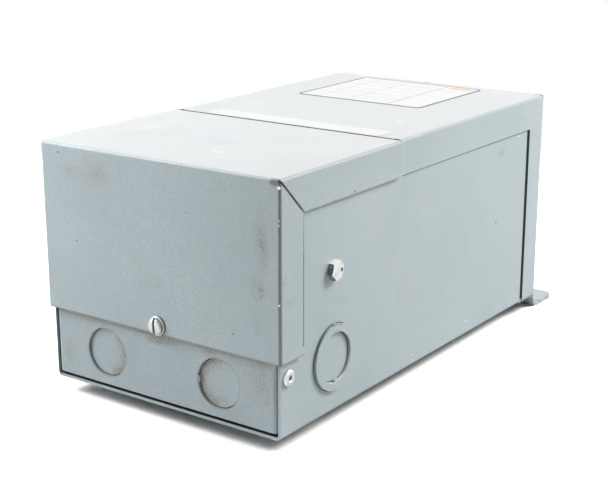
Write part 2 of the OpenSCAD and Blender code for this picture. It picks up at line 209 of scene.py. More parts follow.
def powder_coat(name, dust=0.15):
    """Grey polyester powder, sprayed and baked: a satin skin with orange peel 1.6 mm across.

    Faint clouds, dark specks and a mottling drawn coarser than real, so that it shows, keep it
    from looking even. A pale film on its upper faces is partly dust and partly painted light, the
    washed-out look of the brightly lit tops.
    """
    finish = start_finish(name, coat_dark, 0.4, 0.0)
    tree = finish["tree"]
    lay_over(finish, noise(finish, 42.0, 0.3, 0.7, 4.0), coat_light, 0.4)
    lay_over(finish, meet(finish, noise(finish, 17.0, 0.52, 0.78, 5.0), 0.22), "A5ABA8", 0.4)
    finish["rough"] = add(tree, "MapRange", {0: noise(finish, 9.0, 0.2, 0.8, 5.0), 3: 0.36,
                                             4: 0.48})
    grit = add(tree, "TexVoronoi", {"Vector": finish["place"], "Scale": 1 / (4.6 * mm)})
    speck = add(tree, "MapRange", {0: grit, 1: 0.06, 2: 0.04})
    lay_over(finish, meet(finish, speck, noise(finish, 23.0, 0.5, 0.56)), "6E6A60", 0.7)
    lay_over(finish, meet(finish, noise(finish, 0.8, 0.35, 0.65, 3.0), 0.7), "A3B0B5", 0.46)
    # Pale film on upward faces: partly dust, partly painted light that washes out the lit tops.
    upward = facing(finish, (0, 0, 1), 0.75, 0.97)
    lay_over(finish, meet(finish, upward, noise(finish, 26.0, -0.5, 0.6, 4.0), dust), "CFCBCB", 0.46)
    raise_by(finish, noise(finish, 1.6, 0.2, 0.8, 1.0), 0.016)
    return finish


def place_piece(shape, name, material, *replaced):
    """Makes an object of a finished bmesh, rides it on the body, and lets it stand for CAD nodes."""
    mesh = bpy.data.meshes.new(name)
    for face in shape.faces:
        face.smooth = True
    shape.to_mesh(mesh)
    shape.free()
    mesh.set_sharp_from_angle(angle=math.radians(32))
    piece = bpy.data.objects.new(name, mesh)
    bpy.context.scene.collection.objects.link(piece)
    mesh.materials.append(material)
    weigh = piece.modifiers.new("weighted normals", "WEIGHTED_NORMAL")
    weigh.keep_sharp = True
    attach(piece, "root")
    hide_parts(*replaced)
    return piece


def ease_edges(shape, width, clamped):
    """Rounds a shape's edges that turn by more than 50 degrees, over a width in mm.

    Clamped, it rounds them by less where a face is too narrow for the full width.
    """
    sharp = [e for e in shape.edges
             if e.is_manifold and e.calc_face_angle() > math.radians(50)]
    bmesh.ops.bevel(shape, geom=sharp, offset=width * mm, segments=2, profile=0.5,
                    affect="EDGES", material=-1, clamp_overlap=clamped)


def eased(source, name, width, material):
    """Copy of a CAD piece of sheet steel with its sheared edges eased, which stands for it."""
    shape = bmesh.new()
    shape.from_mesh(nodes[source].data)
    bmesh.ops.remove_doubles(shape, verts=shape.verts, dist=0.002 * mm)
    bmesh.ops.dissolve_limit(shape, angle_limit=math.radians(0.5), verts=shape.verts,
                             edges=shape.edges)
    ease_edges(shape, width, True)
    return place_piece(shape, name, material, source)


body_low, body_high = cad_corners("case_body")
wall_x = body_high[0]
# The walls wear round the edges of one box, which ends at the slots at the far end. The foot wears
# round another, which runs on inwards and downwards, so that only its outer edges count.
slot_y, wall_top, foot_start, foot_under = 73.9, 112, 40, -40
walls_low, walls_high = (-wall_x, body_low[1], standoff), (wall_x, slot_y, wall_top)
foot_low, foot_high = (-wall_x, foot_start, foot_under), (wall_x, body_high[1], body_sheet)

body_coat = powder_coat("powder_coated_steel_body")
# Grime under the back panel, also made dark to deepen the shade in the gap below it, and the
# inside painted dark as shade: the side walls' inner faces, where the normal points back across
# the middle, and the back panel between them.
under = meet(body_coat, facing(body_coat, (0, 0, -1), 0.5, 0.9), noise(body_coat, 9.0, 0.2, 0.5, 4.0))
lay_over(body_coat, meet(body_coat, under, 0.7), "6B6D6A", 0.7)
inward_shade = add(body_coat["tree"], "NewGeometry", out="Normal")
inward_shade = add(body_coat["tree"], "VectorMath", {0: inward_shade, 1: body_coat["place"]}, operation="MULTIPLY")
inward_shade = add(body_coat["tree"], "SeparateXYZ", {0: inward_shade}, "X")
inward_shade = add(body_coat["tree"], "MapRange", {0: inward_shade, 1: -0.03, 2: -0.05})
lay_over(body_coat, meet(body_coat, inward_shade, 0.9), inner_shade, 0.75)
inner_back_shade = meet(body_coat, facing(body_coat, (0, 0, 1), 0.5, 0.9),
                   band(body_coat, "Z", standoff + body_sheet, 1.0))
lay_over(body_coat, meet(body_coat, inner_back_shade, 0.9), inner_shade, 0.75)
edge_wear(body_coat, walls_low, walls_high, 0.8)
# The left wall's sheared front edge is painted dark, and the walls' lower edges are damp stained.
left_edge = meet(body_coat, facing(body_coat, (0, -1, 0), 0.4, 0.8), band(body_coat, "X", -wall_x, 2.4))
left_edge = add(body_coat["tree"], "MapRange", {0: left_edge, 1: 0.2, 2: 0.35, 4: 0.92})
lay_over(body_coat, left_edge, "2B3237", 0.7)
damp = meet(body_coat, band(body_coat, "Z", standoff, 16), noise(body_coat, 12.0, 0.45, 0.75, 4.0))
lay_over(body_coat, meet(body_coat, damp, 0.07), rust_tan, 0.6)
# Rust creeps in from the edges of the foot.
foot_near = add(body_coat["tree"], "MapRange", {0: rim_distance(body_coat, foot_low, foot_high),
                                                1: 1.8 * mm, 2: 0.4 * mm})
on_foot = blotch(body_coat, (0, 108, body_sheet / 2), (70, 16, 4), 0.1, 3.0, 0.2)
foot_rust = meet(body_coat, foot_near, on_foot, noise(body_coat, 3.4, 0.48, 0.62, 4.0))
lay_over(body_coat, meet(body_coat, foot_rust, 0.75), rust_tan, 0.8)
lay_over(body_coat, meet(body_coat, foot_rust, noise(body_coat, 1.6, 0.5, 0.58)), rust_dark, 0.85)
foot_patch = blotch(body_coat, (62, 100, body_sheet), (3, 3, 2))
lay_over(body_coat, meet(body_coat, foot_patch, 0.4), "8A7462", 0.7)
# A scuff high on the right wall, and chips along it, dark where they are deep.
scuff = blotch(body_coat, (wall_x, 46, 94), (3, 4.5, 4.5), 0.6, 2.0, 0.8)
lay_over(body_coat, meet(body_coat, scuff, 0.5, noise(body_coat, 0.8, 0.4, 0.6)), "858A88", 0.6)
chips(body_coat, [(wall_x, 43.0, 58.4, 0.65), (wall_x, -95.0, 56.0, 0.25)], chip_dark)
chips(body_coat, [(wall_x, y, z, r) for y, z, r in (
    (-22.7, 57.6, 0.35), (-24.0, 30.5, 0.5), (-22.0, 21.5, 0.35), (14.9, 14.3, 0.65),
    (18.4, 15.6, 0.35), (-36.9, 12.5, 0.55), (-36.2, 9.8, 0.5), (30.0, 24.0, 0.3),
    (64.4, 99.0, 0.5), (25.4, 20.1, 0.3))])
eased("case_body", "case_body_folded", 0.2, close_finish(body_coat))

# ---- Potted core -----------------------------------------------------------------------------
# Laminated core and windings, cast into the body in one block of black epoxy with sand in it, so
# its skin is matt and gritty. It is seen only through the slots at the far end and the gaps. The
# sand is drawn about twice as coarse as it is, so that it shows.
sand = 0.9


def recoat(name, material):
    """Gives a CAD node that keeps its own shape a better material."""
    nodes[name].data.materials.clear()
    nodes[name].data.materials.append(material)


potting = start_finish("cast_epoxy_with_sand", "1D1E20", 0.75, 0.0)
lay_over(potting, noise(potting, sand, 0.5, 0.62), "3A3833", 0.9)
raise_by(potting, noise(potting, sand, 0.3, 0.7), 0.15)
recoat("potted_core", close_finish(potting))

# ---- Divider panel ---------------------------------------------------------------------------
# Folded sheet steel wall between the potted core and the wiring compartment, spot welded to the
# body's side walls and sprayed with the same powder coat. Below the seam between the covers it is
# painted dark as shade.
seam_y = -51.9
divider_coat = powder_coat("powder_coated_steel_divider")
seam_shade = meet(divider_coat, band(divider_coat, "Y", seam_y, 2.0), 0.9)
lay_over(divider_coat, seam_shade, "3A3833", 0.85)
recoat("divider_panel", close_finish(divider_coat))

# ---- End panel and its knockouts -------------------------------------------------------------
# Flanged sheet steel panel that closes the wiring compartment below its cover, held by a blind
# rivet through each side wall. Two half-inch knockouts are sheared in it and pushed slightly in,
# and each still hangs by one tab. Dust and rust have gathered under the cover's edge.
knockout_r, knockout_x, knockout_z = 11.1, 31.5, 25.1
panel_y = cad_corners("end_panel")[0][1]
apron_z = cad_corners("wiring_cover")[0][2]
end_plane = (1, 0, 1)


def from_axis(finish, centre, across):
    """Distance in metres from an axis through centre, across giving the two other directions."""
    tree = finish["tree"]
    away = add(tree, "VectorMath", {0: finish["place"], 1: [c * mm for c in centre]},
               operation="SUBTRACT")
    away = add(tree, "VectorMath", {0: away, 1: across}, operation="MULTIPLY")
    return add(tree, "VectorMath", {0: away}, "Value", operation="LENGTH")


def from_circle(finish, centre, across, radius):
    """Distance in metres from a round edge, to either side of it."""
    away = add(finish["tree"], "Math", {0: from_axis(finish, centre, across), 1: radius * mm},
               operation="SUBTRACT")
    return add(finish["tree"], "Math", {0: away}, operation="ABSOLUTE")


def dust_line(finish, centre, across, radius, width, strength):
    """Tan dust caught along a sheared edge, thinning out to a width on either side.

    Its grains are drawn 0.7 mm across, coarser than real, so that they show.
    """
    away = from_circle(finish, centre, across, radius)
    mask = add(finish["tree"], "MapRange", {0: away, 1: width * mm, 2: 0.0})
    mask = meet(finish, mask, noise(finish, 0.7, 0.2, 0.55, 3.0), strength)
    lay_over(finish, mask, "877B6C", 0.75)


def sheared_ring(finish, centre, across, radius, width, look, colour):
    """Sheared edge round a hole or slug, on the side that looks one way, with its own colour."""
    away = from_circle(finish, centre, across, radius)
    mask = add(finish["tree"], "MapRange", {0: away, 1: width * mm, 2: 0.4 * width * mm})
    lay_over(finish, meet(finish, mask, facing(finish, look, 0.0, 0.7)), colour, 0.75)


panel_coat = powder_coat("powder_coated_steel_end_panel")
# A thin film of grime all over, brown dust, a dark line below the cover that is grime and painted shade
# both, and four stains.
lay_over(panel_coat, meet(panel_coat, noise(panel_coat, 30.0, -0.4, 0.6), 0.14), "87939A", 0.46)
under_cover = meet(panel_coat, band(panel_coat, "Z", 41, 6.0), noise(panel_coat, 0.9, 0.3, 0.7, 4.0),
                   noise(panel_coat, 21.0, 0.25, 0.5), 0.8)
lay_over(panel_coat, under_cover, "94795C", 0.65)
lay_over(panel_coat, meet(panel_coat, band(panel_coat, "Z", apron_z, 1.0), 0.5), "6A5442", 0.7)
for x, z, half, colour, strength in ((26.4, 38.5, (6, 3, 3), "8B6358", 0.55),
                                     (-1.8, 37.0, (9, 3, 3.5), "7A6650", 0.8),
                                     (54, 30, (9, 3, 14), "8F7B66", 0.6),
                                     (-55, 22, (5, 3, 9), "93806F", 0.45)):
    stain = blotch(panel_coat, (x, panel_y, z), half, 0.7, 4.0, 0.9)
    stain = meet(panel_coat, stain, strength, noise(panel_coat, 0.5, 0.32, 0.68, 2.0))
    lay_over(panel_coat, stain, colour, 0.7)
for side in (-1, 1):
    centre = (side * knockout_x, 0, knockout_z)
    dust_line(panel_coat, centre, end_plane, knockout_r, 0.7, 0.6)
    sheared_ring(panel_coat, centre, end_plane, knockout_r, 0.25, (0.9, 0, -0.4), "B4BDC0")
eased("end_panel", "end_panel_folded", 0.18, close_finish(panel_coat))

# Each slug is cleaner in the middle, and dusty on the side towards the middle of the panel.
for side, name, dusty_at in ((-1, "left", (-24.5, panel_y, 24)), (1, "right", (26, panel_y, 25))):
    slug_coat = powder_coat("powder_coated_knockout_" + name)
    centre = (side * knockout_x, 0, knockout_z)
    dusty = add(slug_coat["tree"], "MapRange", {0: from_axis(slug_coat, centre, end_plane),
                                                1: 5.5 * mm, 2: 11.0 * mm})
    dusty = meet(slug_coat, dusty, blotch(slug_coat, dusty_at, (11, 6, 15)),
                 noise(slug_coat, 0.8, 0.25, 0.55, 3.0), 0.85)
    lay_over(slug_coat, dusty, "857663", 0.75)
    dust_line(slug_coat, centre, end_plane, knockout_r, 0.8, 0.6)
    eased("end_knockout_" + name, "end_knockout_%s_pushed_in" % name, 0.2, close_finish(slug_coat))

# ---- Side knockouts --------------------------------------------------------------------------
# A ring knockout in each side wall, struck from inside so that it stands proud, and a half-inch
# disc within it, still level with the wall. The same powder coat is thin on their sheared edges,
# which are painted darker on the side towards the wiring end, partly bare edge and partly painted
# shade, with a painted highlight along the lower rim. The bottom tab is painted dark as shade.
ring_x, ring_y, ring_z, ring_r, kerf = 64.5, -101.9, 32.2, 15.05, 0.35
ring_centre, side_plane, grime = (0, ring_y, ring_z), (0, 1, 1), "565F62"
ring_coat = powder_coat("powder_coated_knockout_ring")
# Sheared edges: darker towards the wiring end, partly bare edge and partly painted shade; a painted
# highlight along the lower inner rim.
sheared_ring(ring_coat, ring_centre, side_plane, ring_r - kerf, 0.3, (0, -1, 0.3), "9CA7AB")
sheared_ring(ring_coat, ring_centre, side_plane, knockout_r, 0.25, (0, -1, -0.2), "8F999D")
sheared_ring(ring_coat, ring_centre, side_plane, knockout_r, 0.4, (0.1, -0.35, 0.9), "EEF2F3")
dust_line(ring_coat, ring_centre, side_plane, knockout_r, 0.5, 0.15)
ring_top = blotch(ring_coat, (64, -101.0, 46.9), (3, 4.6, 1.1), 0.3, 2.0, 0.7)
lay_over(ring_coat, meet(ring_coat, ring_top, 0.45), "5F666A", 0.7)
chips(ring_coat, [(ring_x, -98.4, 46.0, 0.6)], "7A3B26")
# Painted shade at the bottom tab, on the ring here and on the disc below.
ring_tab = blotch(ring_coat, (64, -102.6, 22.4), (3, 1.8, 1.0), 0.2, 2.0, 0.6)
lay_over(ring_coat, meet(ring_coat, ring_tab, 0.3), grime, 0.7)
ring_paint = close_finish(ring_coat)
disc_coat = powder_coat("powder_coated_knockout_disc")
disc_tab = blotch(disc_coat, (64, -102.4, 22.0), (3, 1.6, 0.8), 0.2, 2.0, 0.6)
lay_over(disc_coat, meet(disc_coat, disc_tab, 0.25), grime, 0.7)
disc_paint = close_finish(disc_coat)
for name in ("left", "right"):
    eased("side_knockout_ring_" + name, "side_knockout_ring_%s_struck_out" % name, 0.25, ring_paint)
    eased("side_knockout_disc_" + name, "side_knockout_disc_%s_sheared" % name, 0.2, disc_paint)

# ---- End panel rivets ------------------------------------------------------------------------
# Aluminium blind rivet through each side wall into the end panel's flange: a low domed head with
# the broken steel mandrel in its middle. The head is bright and slightly scuffed.
mandrel_r, turned_steps = 1.0, 64


def cad_middle(name):
    """Middle of a CAD piece's box, in mm."""
    return [(low + high) / 2 for low, high in zip(*cad_corners(name))]


def turned(profile):
    """Solid of revolution about Z from a profile of radius and height in mm, axis to axis."""
    shape = bmesh.new()
    points = [shape.verts.new((r * mm, 0, h * mm)) for r, h in profile]
    lines = [shape.edges.new(pair) for pair in zip(points, points[1:])]
    bmesh.ops.spin(shape, geom=points + lines, axis=(0, 0, 1), cent=(0, 0, 0),
                   steps=turned_steps, angle=2 * math.pi, use_merge=True)
    bmesh.ops.remove_doubles(shape, verts=shape.verts, dist=0.001 * mm)
    bmesh.ops.recalc_face_normals(shape, faces=shape.faces)
    return shape


def to_side_wall(shape, y, z, side):
    """Turns a piece made standing up so that it stands out of a side wall, at y and z in mm."""
    turn = Matrix.Rotation(math.radians(90 * side), 4, "Y")
    move = Matrix.Translation((side * wall_x * mm, y * mm, z * mm))
    bmesh.ops.transform(shape, matrix=move @ turn, verts=shape.verts)


_, rivet_y, rivet_z = cad_middle("end_panel_rivet_right")
rivet_metal = start_finish("aluminium_rivet_bright", "E4E5E6", 0.3, 0.9)
scuffed = meet(rivet_metal, noise(rivet_metal, 1.1, 0.5, 0.7, 3.0), 0.5)
lay_over(rivet_metal, scuffed, "B9BABA", 0.5, 0.9)
mandrel = from_axis(rivet_metal, (0, rivet_y, rivet_z), side_plane)
mandrel = add(rivet_metal["tree"], "MapRange", {0: mandrel, 1: 1.2 * mandrel_r * mm, 2: mandrel_r * mm})
lay_over(rivet_metal, mandrel, "7D7A75", 0.6, 0.8)
raise_by(rivet_metal, noise(rivet_metal, 0.8, 0.3, 0.7), 0.01)
rivet_material = close_finish(rivet_metal)
rivet_head = [(0, 0.75), (0.7, 0.72), (0.95, 0.55), (1.0, 0.2), (1.1, 0.2), (1.15, 1.1), (1.4, 1.42),
              (1.9, 1.5), (2.6, 1.42), (3.1, 1.22), (3.45, 0.9), (3.6, 0.5), (3.55, 0.1), (3.4, 0)]
rivet_shank = [(2.4, 0), (2.4, -3.3), (3.2, -3.5), (3.3, -4.6), (2.6, -5.2), (0, -5.3)]
for side, name in ((-1, "left"), (1, "right")):
    rivet = turned(rivet_head + rivet_shank)
    to_side_wall(rivet, rivet_y, rivet_z, side)
    place_piece(rivet, "end_panel_rivet_%s_set" % name, rivet_material, "end_panel_rivet_" + name)

# ---- Side bolts and nuts ---------------------------------------------------------------------
# Zinc-plated hexagon bolt through each side wall with a nut inside. The head is cold formed, with
# a chamfered top. The zinc has dulled, and its flats towards the wiring end are painted grey-green,
# partly for dull zinc and partly as shade.
_, bolt_y, bolt_z = cad_middle("side_bolt_right")
bolt_low, bolt_high = cad_corners("side_bolt_right")
bolt_flats, bolt_head = bolt_high[2] - bolt_low[2], bolt_high[0] - wall_x
bolt_r, bolt_length, bolt_tip, bolt_turn = 2.5, 5.4, 0.4, -18


def hexagon_head(flats, height, slope):
    """Hexagonal prism on Z = 0 with two corners along X, its top cut to a flat-topped cone."""
    shape = bmesh.new()
    flat_r = flats / 2 * mm
    crown_r = 0.94 * flat_r
    bmesh.ops.create_circle(shape, cap_ends=True, segments=48, radius=flat_r)
    for vert in shape.verts:
        turn = math.atan2(vert.co.y, vert.co.x) % (math.pi / 3) - math.pi / 6
        vert.co /= math.cos(turn)
    walls = bmesh.ops.extrude_edge_only(shape, edges=shape.edges[:])["geom"]
    for vert in [g for g in walls if isinstance(g, bmesh.types.BMVert)]:
        vert.co.z = height * mm - (vert.co.xy.length - crown_r) * slope
    rim = [g for g in walls if isinstance(g, bmesh.types.BMEdge)]
    cone = bmesh.ops.extrude_edge_only(shape, edges=rim)["geom"]
    for vert in [g for g in cone if isinstance(g, bmesh.types.BMVert)]:
        vert.co.xy = vert.co.xy.normalized() * crown_r
        vert.co.z = height * mm
    bmesh.ops.contextual_create(shape, geom=[g for g in cone if isinstance(g, bmesh.types.BMEdge)])
    bmesh.ops.recalc_face_normals(shape, faces=shape.faces)
    return shape


def join(first, second):
    """Adds the second bmesh to the first."""
    mesh = bpy.data.meshes.new("joined")
    second.to_mesh(mesh)
    second.free()
    first.from_mesh(mesh)
    bpy.data.meshes.remove(mesh)


def zinc_plate(name):
    """Bright zinc plate, dulled: a soft metal sheen under mottling, bloom and grime.

    The mottling is drawn coarser than the real one, which is too fine to show.
    """
    finish = start_finish(name, "E2E4E4", 0.32, 0.85)
    lay_over(finish, meet(finish, noise(finish, 1.6, 0.42, 0.72, 4.0), 0.6), "C2C5C0", 0.45, 0.8)
    lay_over(finish, noise(finish, 0.7, 0.66, 0.72), "7C776C", 0.7, 0.4)
    raise_by(finish, noise(finish, 0.6, 0.3, 0.7), 0.01)
    return finish


bolt_zinc = zinc_plate("zinc_plated_steel_bolt")
# Grey-green on the flats towards the wiring end: dull zinc and painted shade.
bloom = facing(bolt_zinc, (0, -0.95, -0.3), 0.3, 0.7)
lay_over(bolt_zinc, meet(bolt_zinc, bloom, noise(bolt_zinc, 1.5, 0.2, 0.5), 0.9), "59625B", 0.6, 0.3)
chips(bolt_zinc, [(wall_x + bolt_head, bolt_y + 2.3, bolt_z + 0.1, 1.2)], "2E3330")
bolt_material = close_finish(bolt_zinc)
nut_material = close_finish(zinc_plate("zinc_plated_steel_nut"))
for side, name in ((-1, "left"), (1, "right")):
    bolt = hexagon_head(bolt_flats, bolt_head, 0.5)
    join(bolt, turned([(0, 0.1), (bolt_r, 0.1), (bolt_r, bolt_tip * 1.5 - bolt_length),
                       (bolt_r - bolt_tip, -bolt_length), (0, -bolt_length)]))
    bmesh.ops.rotate(bolt, cent=(0, 0, 0), verts=bolt.verts,
                     matrix=Matrix.Rotation(math.radians(bolt_turn * side), 3, "Z"))
    to_side_wall(bolt, bolt_y, bolt_z, side)
    place_piece(bolt, "side_bolt_%s_headed" % name, bolt_material, "side_bolt_" + name)
    recoat("side_bolt_nut_" + name, nut_material)

# ---- Main cover ------------------------------------------------------------------------------
# Folded sheet steel cover over the core, with a mitred far corner and lips that overlap the side
# walls. Powder coated after folding. The far mitre and the folds have lost a little paint, and the
# sheared edge at the seam is dark.
lip_foot, lip_rise, far_fold, below_all = 7.3, 1.8, 89.0, -60
main_low, main_high = cad_corners("main_cover")
main_x, main_start, top_z = main_high[0], main_low[1], main_high[2]
# The box whose edges wear runs on below, where the cover has no fold.
main_low[2] = below_all
upwards, outwards, right_fold = (0, 0, 1), (1, 0, 0), (0.707, 0, 0.707)

main_coat = powder_coat("powder_coated_steel_main_cover", 0.42)
edge_wear(main_coat, main_low, main_high)
smear = blotch(main_coat, (41.5, -17, top_z), (3.5, 4, 2), 0.8, 2.0, 1.2)
lay_over(main_coat, meet(main_coat, smear, 0.6), "D8DCDC", 0.5)
# Pale chips along the right fold, dark ones at the far fold and corner, and old tan ones below.
chips(main_coat, [(63.6, -41.8, 116.6, 0.5)] + [(main_x, y, z, r) for y, z, r in (
    (83.8, 109.0, 0.35), (85.1, 117.0, 0.5), (86.6, 115.2, 0.45), (84.8, 113.6, 0.35),
    (84.2, 111.6, 0.45), (83.4, 109.4, 0.35), (82.2, 106.6, 0.35))])
chips(main_coat, [(-5.2, 88.6, top_z, 1.5), (-3.0, 89.0, top_z, 0.8)], "4A4038")
chips(main_coat, [(62.3, 88.8, 116.7, 1.7), (60.9, 87.0, top_z, 1.1), (63.5, 90.0, 115.9, 1.7)],
      "5A5048")
chips(main_coat, [(main_x, y, z, r) for y, z, r in (
    (79.2, 97.0, 0.5), (81.2, 90.0, 0.35), (84.0, 112.0, 0.4), (82.4, 104.0, 0.35),
    (65.4, 108.5, 0.6), (80.6, 61.0, 0.3))], "A3876C")
for y, z, half, strength in ((52, 95, (2, 9, 3), 0.35), (60, 89, (2, 4, 3), 0.4)):
    stain = blotch(main_coat, (main_x, y, z), half, 0.5, 4.0, 1.0)
    stain = meet(main_coat, stain, strength, noise(main_coat, 0.6, 0.35, 0.65, 2.0))
    lay_over(main_coat, stain, "9A8468", 0.6)
# The right fold is painted darker as shade.
lay_over(main_coat, meet(main_coat, facing(main_coat, right_fold, 0.8, 0.97), 0.45), "868E91", 0.5)
rubbed = blotch(main_coat, (63.2, -37, 116.8), (1.5, 4.5, 1.5))
lay_over(main_coat, meet(main_coat, rubbed, 0.6), "C9B9A4", 0.6)
# Painted shade along the seam on the front, a faint painted highlight beside it on the lip, and the
# dark edge.
seam_shade_top = meet(main_coat, band(main_coat, "Y", main_start, 1.4),
                facing(main_coat, upwards, 0.5, 0.8))
lay_over(main_coat, seam_shade_top, "3C3C40", 0.7)
seam_highlight_side = meet(main_coat, band(main_coat, "Y", main_start + 2.6, 0.8),
                 facing(main_coat, outwards, 0.7, 0.9), 0.3)
lay_over(main_coat, seam_highlight_side, "D2DADC", 0.5)
lay_over(main_coat, meet(main_coat, facing(main_coat, (0, -1, 0), 0.3, 0.7), 0.85), "2F3B34", 0.8)
main_cover = eased("main_cover", "main_cover_folded", 0.15, close_finish(main_coat))
# The lips' lower ends, up to the far fold, stop short of the body's fold, which shows below them.
for vert in main_cover.data.vertices:
    if vert.co.z < lip_foot * mm and vert.co.y < far_fold * mm:
        vert.co.z += lip_rise * mm

# ---- Wiring cover ----------------------------------------------------------------------------
# Folded sheet steel cover over the wiring compartment, with open mitres where its side and end
# lips meet, and a notch for one screw. Powder coated after folding, then rubbed and rusted at the
# folds by handling, with brown stains down its end face.
past_seam, near_lip_y = 40, -125.9
cover_low, cover_high = cad_corners("wiring_cover")
cover_x, cover_y, cover_edge_y = cover_high[0], cover_low[1], cover_high[1]
screw_z = cad_middle("cover_screw")[2]
# The box whose edges wear runs on below and past the seam, where the cover has no fold.
cover_low[2], cover_high[1] = below_all, past_seam


def ramp(finish, axis, low, high, least=0.0, most=1.0):
    """Mask that goes from least to most between two places along an axis, in mm."""
    along = add(finish["tree"], "SeparateXYZ", {0: finish["place"]}, axis)
    return add(finish["tree"], "MapRange", {0: along, 1: low * mm, 2: high * mm, 3: least, 4: most})


cover_coat = powder_coat("powder_coated_steel_wiring_cover", 0.47)
edge_wear(cover_coat, cover_low, cover_high)
# Stains on the end face and the right lip, and bare brown steel at the front corner.
for spot, half, colour, strength in (((-31.5, cover_y, 105.5), (12, 4, 10), "998376", 0.6),
                                     ((-46.7, cover_y, 105), (13, 4, 6), "998376", 0.4),
                                     ((56, cover_y, 92), (5.5, 4, 19), "8C7A66", 0.75),
                                     ((57, cover_y, 88.5), (3.5, 4, 8), "7E6048", 0.85),
                                     ((54.5, cover_y, 71.5), (6, 4, 8), "8C7A66", 0.7),
                                     ((56, cover_y, 70.5), (3, 4, 4.5), "7E6048", 0.85),
                                     ((54, cover_y, 56), (4, 4, 7), "8C7A66", 0.35),
                                     ((cover_x, -139.5, 75), (3, 2.5, 9), "93806E", 0.4),
                                     ((cover_x, -135, 66), (2, 7, 3), "9A8672", 0.4),
                                     ((0, cover_y, 43), (10, 4, 2.5), "7C7166", 0.45),
                                     ((62.5, -141, 115.6), (5, 3, 4), "5A4C40", 1.0)):
    stain = blotch(cover_coat, spot, half, 0.5, 9.0, 1.3)
    stain = meet(cover_coat, stain, strength, noise(cover_coat, 0.45, 0.35, 0.62, 2.0, (1, 1, 0.7)))
    lay_over(cover_coat, stain, colour, 0.7)
# Rust and painted shade down the upright edge of the lip that the end face turns onto the right wall,
# heavier below.
lip_rust_and_shade = meet(cover_coat, band(cover_coat, "Y", near_lip_y, 0.9),
                facing(cover_coat, outwards, 0.3, 0.6), ramp(cover_coat, "Z", 98, 84, 0.45, 1.4),
                ramp(cover_coat, "Z", 101, 100), noise(cover_coat, 3.0, 0.15, 0.4))
lay_over(cover_coat, lip_rust_and_shade, "3A3029", 0.8)
# Painted shade in the folds, grime along the lower edge, and a painted shadow round the right side of
# the screw's washer.
for look, colour, strength in (((0.707, -0.707, 0), "7E868A", 0.7), (right_fold, "868E91", 0.45)):
    fold_shade = meet(cover_coat, facing(cover_coat, look, 0.8, 0.97), strength)
    lay_over(cover_coat, fold_shade, colour, 0.5)
lay_over(cover_coat, meet(cover_coat, band(cover_coat, "Z", apron_z, 0.9), 0.6), "6F665A", 0.7)
caught = from_axis(cover_coat, (0.5, 0, screw_z + 0.3), end_plane)
caught = add(cover_coat["tree"], "MapRange", {0: caught, 1: 4.7 * mm, 2: 4.3 * mm})
caught = meet(cover_coat, caught, ramp(cover_coat, "X", 0.0, 2.4, 0.0, 0.8))
lay_over(cover_coat, caught, "3E4346", 0.7)
# Painted shade along the seam with the main cover, and the dark sheared edge there.
seam_shade_top = meet(cover_coat, band(cover_coat, "Y", cover_edge_y, 1.0),
                facing(cover_coat, upwards, 0.5, 0.8))
lay_over(cover_coat, seam_shade_top, "4A4A4C", 0.7)
lay_over(cover_coat, meet(cover_coat, facing(cover_coat, (0, 1, 0), 0.2, 0.6), 0.9), "363635", 0.8)
chips(cover_coat, [(x, cover_y, z, r) for x, z, r in (
    (-64.6, 116.5, 0.8), (-54.0, 112.9, 0.6), (-45.2, 74.4, 0.45), (17.7, 97.1, 0.4),
    (52.0, 116.5, 0.5), (41.2, 49.6, 0.5))], "5D5346")
# Tan and bluish clouds on the front, from hands and cleaning.
for x, y, half, colour, strength in ((-42, -107, (9, 20, 2), "A89C8E", 0.16),
                                     (-30, -96, (10, 22, 2), "A89C8E", 0.12),
                                     (-44, -92, (5, 18, 2), "D4DDE4", 0.22),
                                     (-27, -82, (9, 7, 2), "D4DDE4", 0.22),
                                     (0, -100, (26, 15, 2), "A9B8C2", 0.22),
                                     (13.8, -116, (7, 3, 2), "F0F0EE", 0.42)):
    cloud = blotch(cover_coat, (x, y, top_z), half, 0.5, 8.0, 1.2)
    lay_over(cover_coat, meet(cover_coat, cloud, strength), colour, 0.5)
# Bright bare steel where the right fold was knocked, the worn front corner, and the lip's chips.
chips(cover_coat, [(64.4, -141.8, 113.7, 0.9), (64.4, -141.8, 66.2, 0.5)], "F6F6F4", 0.35, 0.95)
chips(cover_coat, [(64.5, -141.8, 100.7, 0.6), (64.2, -141.8, 98.7, 0.5)], "D9C6BC", 0.4, 0.9)
worn_corner = blotch(cover_coat, (62.4, -141.8, 115.7), (2.9, 3, 1.7), 0.4, 1.5, 0.5)
lay_over(cover_coat, meet(cover_coat, worn_corner, 0.85), "75736E", 0.7)
chips(cover_coat, [(63.2, -140.6, top_z, 0.8)], "B7A898")
chips(cover_coat, [(cover_x, -53.0, 101.2, 0.9)], "C3CCCF")
chips(cover_coat, [(cover_x, y, z, r) for y, z, r in (
    (-105.1, 101.2, 0.75), (-89.6, 101.9, 0.75), (-79.0, 101.4, 0.35))], "8C8472")
eased("wiring_cover", "wiring_cover_folded", 0.15, close_finish(cover_coat))

# ---- Cover screw and its clip ----------------------------------------------------------------
# Zinc-plated slotted screw with a washer under its pan head, in a spring clip on the end panel.
# It clamps the wiring cover at the notch. The slot is a little off upright, and is darkened with grime
# and painted shade.
slot_half, slot_floor, slot_turn = 0.6, 0.9, 2
head_off_middle = (-0.3 * mm, -0.2 * mm, 0)
washer_profile = [(2.7, 0.48), (3.75, 0.45), (3.85, 0.66), (4.1, 0.64), (4.25, 0.45),
                  (4.25, 0.12), (4.1, 0)]
screw_shank = [(2.4, 0), (2.4, -7.2), (1.8, -8.9), (0, -8.9)]
head_profile = [(0, 2.1), (2.1, 2.05), (3.0, 1.85), (3.5, 1.45), (3.7, 1.0), (3.65, 0.6), (0, 0.6)]
